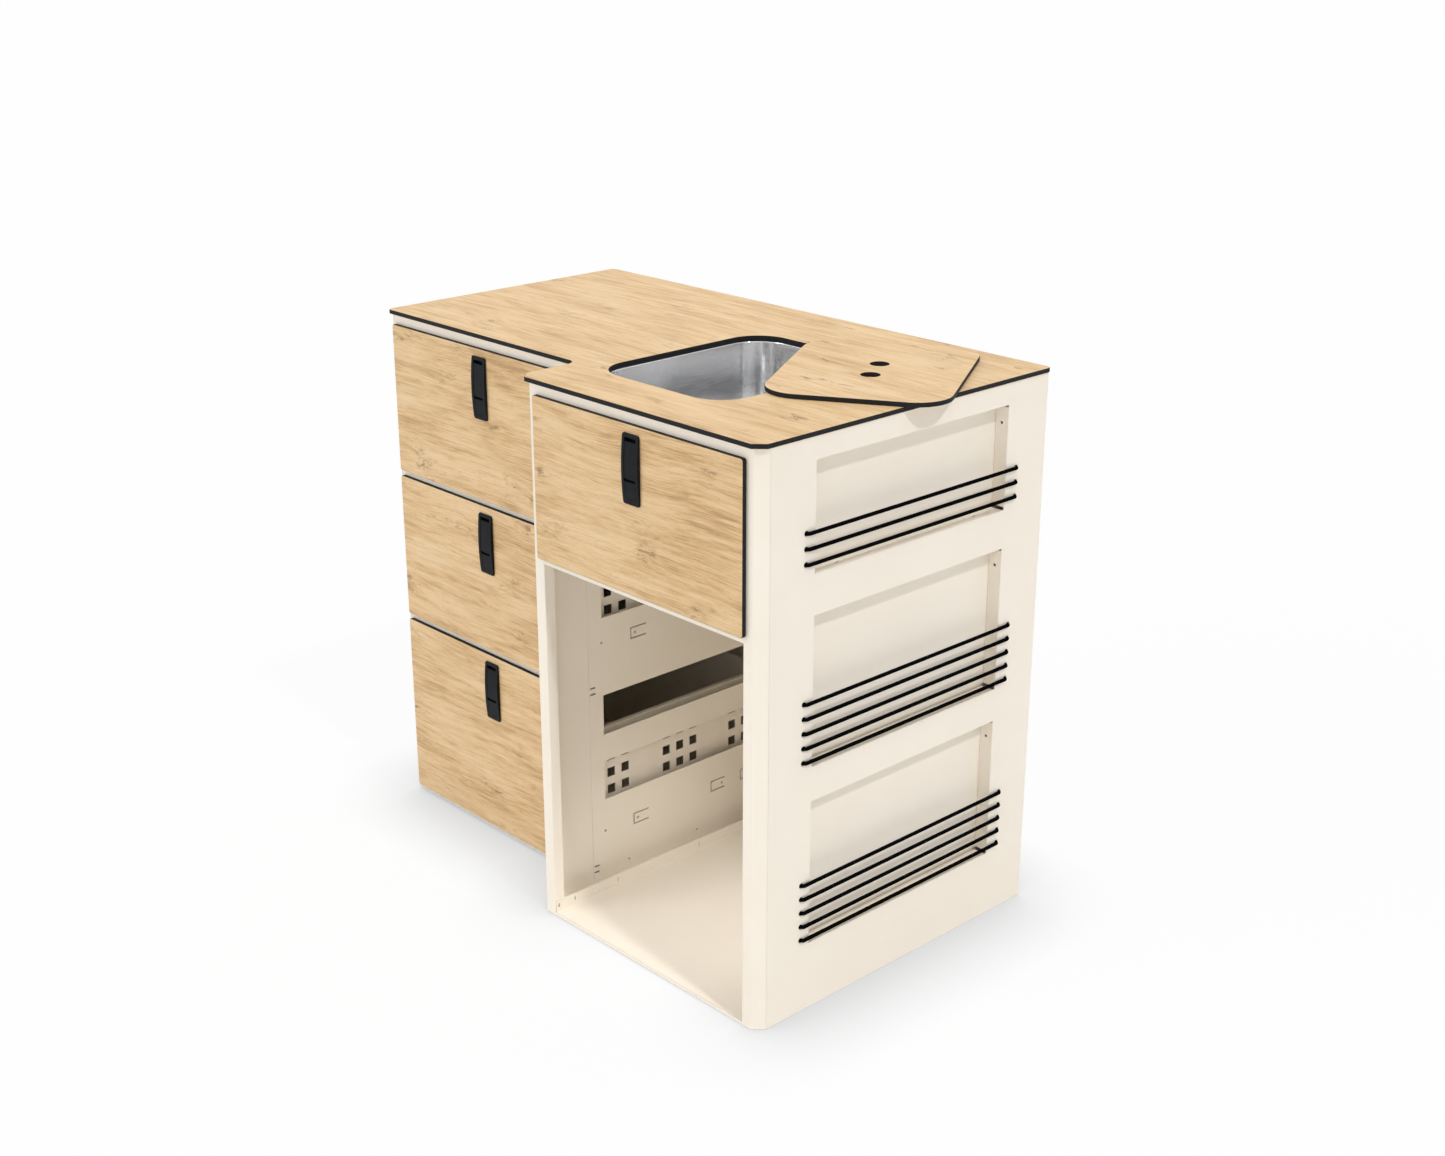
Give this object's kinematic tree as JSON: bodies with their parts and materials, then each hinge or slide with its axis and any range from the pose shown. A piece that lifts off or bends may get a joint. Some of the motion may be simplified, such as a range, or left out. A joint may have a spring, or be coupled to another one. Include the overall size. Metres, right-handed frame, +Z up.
{
  "type": "campervan kitchen pod",
  "caption": "Camper van kitchen pod with oak-look top, sunk steel sink, loose lid, latched drawers, open cavity and corded side pockets.",
  "frame": {"origin": "on the floor, under the middle of the worktop's plan rectangle", "axes": "+Z up, -Y towards the drawer fronts, +X towards the side with the pockets"},
  "size_m": [0.9025, 0.533, 0.7763],
  "materials": {
    "oak_laminate": "matte compact laminate with an oak decor",
    "cream_powder_coat": "fine powder coat",
    "stainless_steel": "brushed",
    "zinc_steel": "zinc plated",
    "black_plastic": "fine moulded grain",
    "black_rubber": "matte",
    "black_elastic": "braided sheath over elastic"
  },
  "bodies": {
    "root": {"worktop": "oak_laminate", "sink_seal": "black_rubber", "sink_basin": "stainless_steel", "sink_drain": "stainless_steel", "right_front_frame": "cream_powder_coat", "left_front_frame": "cream_powder_coat", "left_side_panel": "cream_powder_coat", "back_panel": "cream_powder_coat", "right_side_panel": "cream_powder_coat", "right_liner": "cream_powder_coat", "divider_panel": "cream_powder_coat", "cavity_floor": "cream_powder_coat", "base_sheet": "cream_powder_coat", "upper_pocket_cord": "black_elastic", "middle_pocket_cord": "black_elastic", "lower_pocket_cord": "black_elastic", "runner_packer": "cream_powder_coat", "sink_left_track": "zinc_steel", "sink_right_track": "zinc_steel", "upper_left_track": "zinc_steel", "upper_right_track": "zinc_steel", "middle_left_track": "zinc_steel", "middle_right_track": "zinc_steel", "lower_left_track": "zinc_steel", "lower_right_track": "zinc_steel"},
    "sink_lid": {"sink_lid": "oak_laminate"},
    "sink_drawer": {"sink_drawer_front": "oak_laminate", "sink_drawer_box": "cream_powder_coat", "sink_left_runner": "zinc_steel", "sink_right_runner": "zinc_steel", "sink_latch_housing": "black_plastic"},
    "sink_latch_lever": {"sink_latch_lever": "black_plastic"},
    "sink_latch_button": {"sink_latch_button": "black_plastic"},
    "sink_latch_bolt": {"sink_latch_bolt": "zinc_steel"},
    "upper_drawer": {"upper_drawer_front": "oak_laminate", "upper_drawer_box": "cream_powder_coat", "upper_left_runner": "zinc_steel", "upper_right_runner": "zinc_steel", "upper_latch_housing": "black_plastic"},
    "upper_latch_lever": {"upper_latch_lever": "black_plastic"},
    "upper_latch_button": {"upper_latch_button": "black_plastic"},
    "upper_latch_bolt": {"upper_latch_bolt": "zinc_steel"},
    "middle_drawer": {"middle_drawer_front": "oak_laminate", "middle_drawer_box": "cream_powder_coat", "middle_left_runner": "zinc_steel", "middle_right_runner": "zinc_steel", "middle_latch_housing": "black_plastic"},
    "middle_latch_lever": {"middle_latch_lever": "black_plastic"},
    "middle_latch_button": {"middle_latch_button": "black_plastic"},
    "middle_latch_bolt": {"middle_latch_bolt": "zinc_steel"},
    "lower_drawer": {"lower_drawer_front": "oak_laminate", "lower_drawer_box": "cream_powder_coat", "lower_left_runner": "zinc_steel", "lower_right_runner": "zinc_steel", "lower_latch_housing": "black_plastic"},
    "lower_latch_lever": {"lower_latch_lever": "black_plastic"},
    "lower_latch_button": {"lower_latch_button": "black_plastic"},
    "lower_latch_bolt": {"lower_latch_bolt": "zinc_steel"}
  },
  "joints": [
    {"name": "sink_lid_lift", "type": "slide", "parent": "root", "child": "sink_lid", "axis": [0, 0, 1], "range_m": [0, 0.15]},
    {"name": "sink_drawer_slide", "type": "slide", "parent": "root", "child": "sink_drawer", "axis": [0, -1, 0], "range_m": [0, 0.215]},
    {"name": "sink_lever_pull", "type": "hinge", "parent": "sink_drawer", "child": "sink_latch_lever", "pos_m": [0.218, -0.264, 0.6825], "axis": [1, 0, 0], "range_deg": [0, 35], "stiffness_Nm_per_rad": 0.02, "springref_deg": -17.19},
    {"name": "sink_button_press", "type": "slide", "parent": "sink_drawer", "child": "sink_latch_button", "axis": [0, 1, 0], "range_m": [0, 0.002], "stiffness_N_per_m": 300, "springref_m": -0.002},
    {"name": "sink_bolt_draw", "type": "slide", "parent": "sink_drawer", "child": "sink_latch_bolt", "axis": [0, 0, -1], "range_m": [0, 0.005]},
    {"name": "upper_drawer_slide", "type": "slide", "parent": "root", "child": "upper_drawer", "axis": [0, -1, 0], "range_m": [0, 0.26]},
    {"name": "upper_lever_pull", "type": "hinge", "parent": "upper_drawer", "child": "upper_latch_lever", "pos_m": [-0.21725, -0.167, 0.6825], "axis": [1, 0, 0], "range_deg": [0, 35], "stiffness_Nm_per_rad": 0.02, "springref_deg": -17.19},
    {"name": "upper_button_press", "type": "slide", "parent": "upper_drawer", "child": "upper_latch_button", "axis": [0, 1, 0], "range_m": [0, 0.002], "stiffness_N_per_m": 300, "springref_m": -0.002},
    {"name": "upper_bolt_draw", "type": "slide", "parent": "upper_drawer", "child": "upper_latch_bolt", "axis": [0, 0, -1], "range_m": [0, 0.005]},
    {"name": "middle_drawer_slide", "type": "slide", "parent": "root", "child": "middle_drawer", "axis": [0, -1, 0], "range_m": [0, 0.26]},
    {"name": "middle_lever_pull", "type": "hinge", "parent": "middle_drawer", "child": "middle_latch_lever", "pos_m": [-0.21725, -0.167, 0.453], "axis": [1, 0, 0], "range_deg": [0, 35], "stiffness_Nm_per_rad": 0.02, "springref_deg": -17.19},
    {"name": "middle_button_press", "type": "slide", "parent": "middle_drawer", "child": "middle_latch_button", "axis": [0, 1, 0], "range_m": [0, 0.002], "stiffness_N_per_m": 300, "springref_m": -0.002},
    {"name": "middle_bolt_draw", "type": "slide", "parent": "middle_drawer", "child": "middle_latch_bolt", "axis": [0, 0, -1], "range_m": [0, 0.005]},
    {"name": "lower_drawer_slide", "type": "slide", "parent": "root", "child": "lower_drawer", "axis": [0, -1, 0], "range_m": [0, 0.26]},
    {"name": "lower_lever_pull", "type": "hinge", "parent": "lower_drawer", "child": "lower_latch_lever", "pos_m": [-0.21725, -0.167, 0.2235], "axis": [1, 0, 0], "range_deg": [0, 35], "stiffness_Nm_per_rad": 0.02, "springref_deg": -17.19},
    {"name": "lower_button_press", "type": "slide", "parent": "lower_drawer", "child": "lower_latch_button", "axis": [0, 1, 0], "range_m": [0, 0.002], "stiffness_N_per_m": 300, "springref_m": -0.002},
    {"name": "lower_bolt_draw", "type": "slide", "parent": "lower_drawer", "child": "lower_latch_bolt", "axis": [0, 0, -1], "range_m": [0, 0.005]}
  ],
  "couplings": [
    {"joint": "sink_bolt_draw", "follows": "sink_lever_pull", "m_per_rad": 0.0081769},
    {"joint": "upper_bolt_draw", "follows": "upper_lever_pull", "m_per_rad": 0.0081769},
    {"joint": "middle_bolt_draw", "follows": "middle_lever_pull", "m_per_rad": 0.0081769},
    {"joint": "lower_bolt_draw", "follows": "lower_lever_pull", "m_per_rad": 0.0081769}
  ]
}
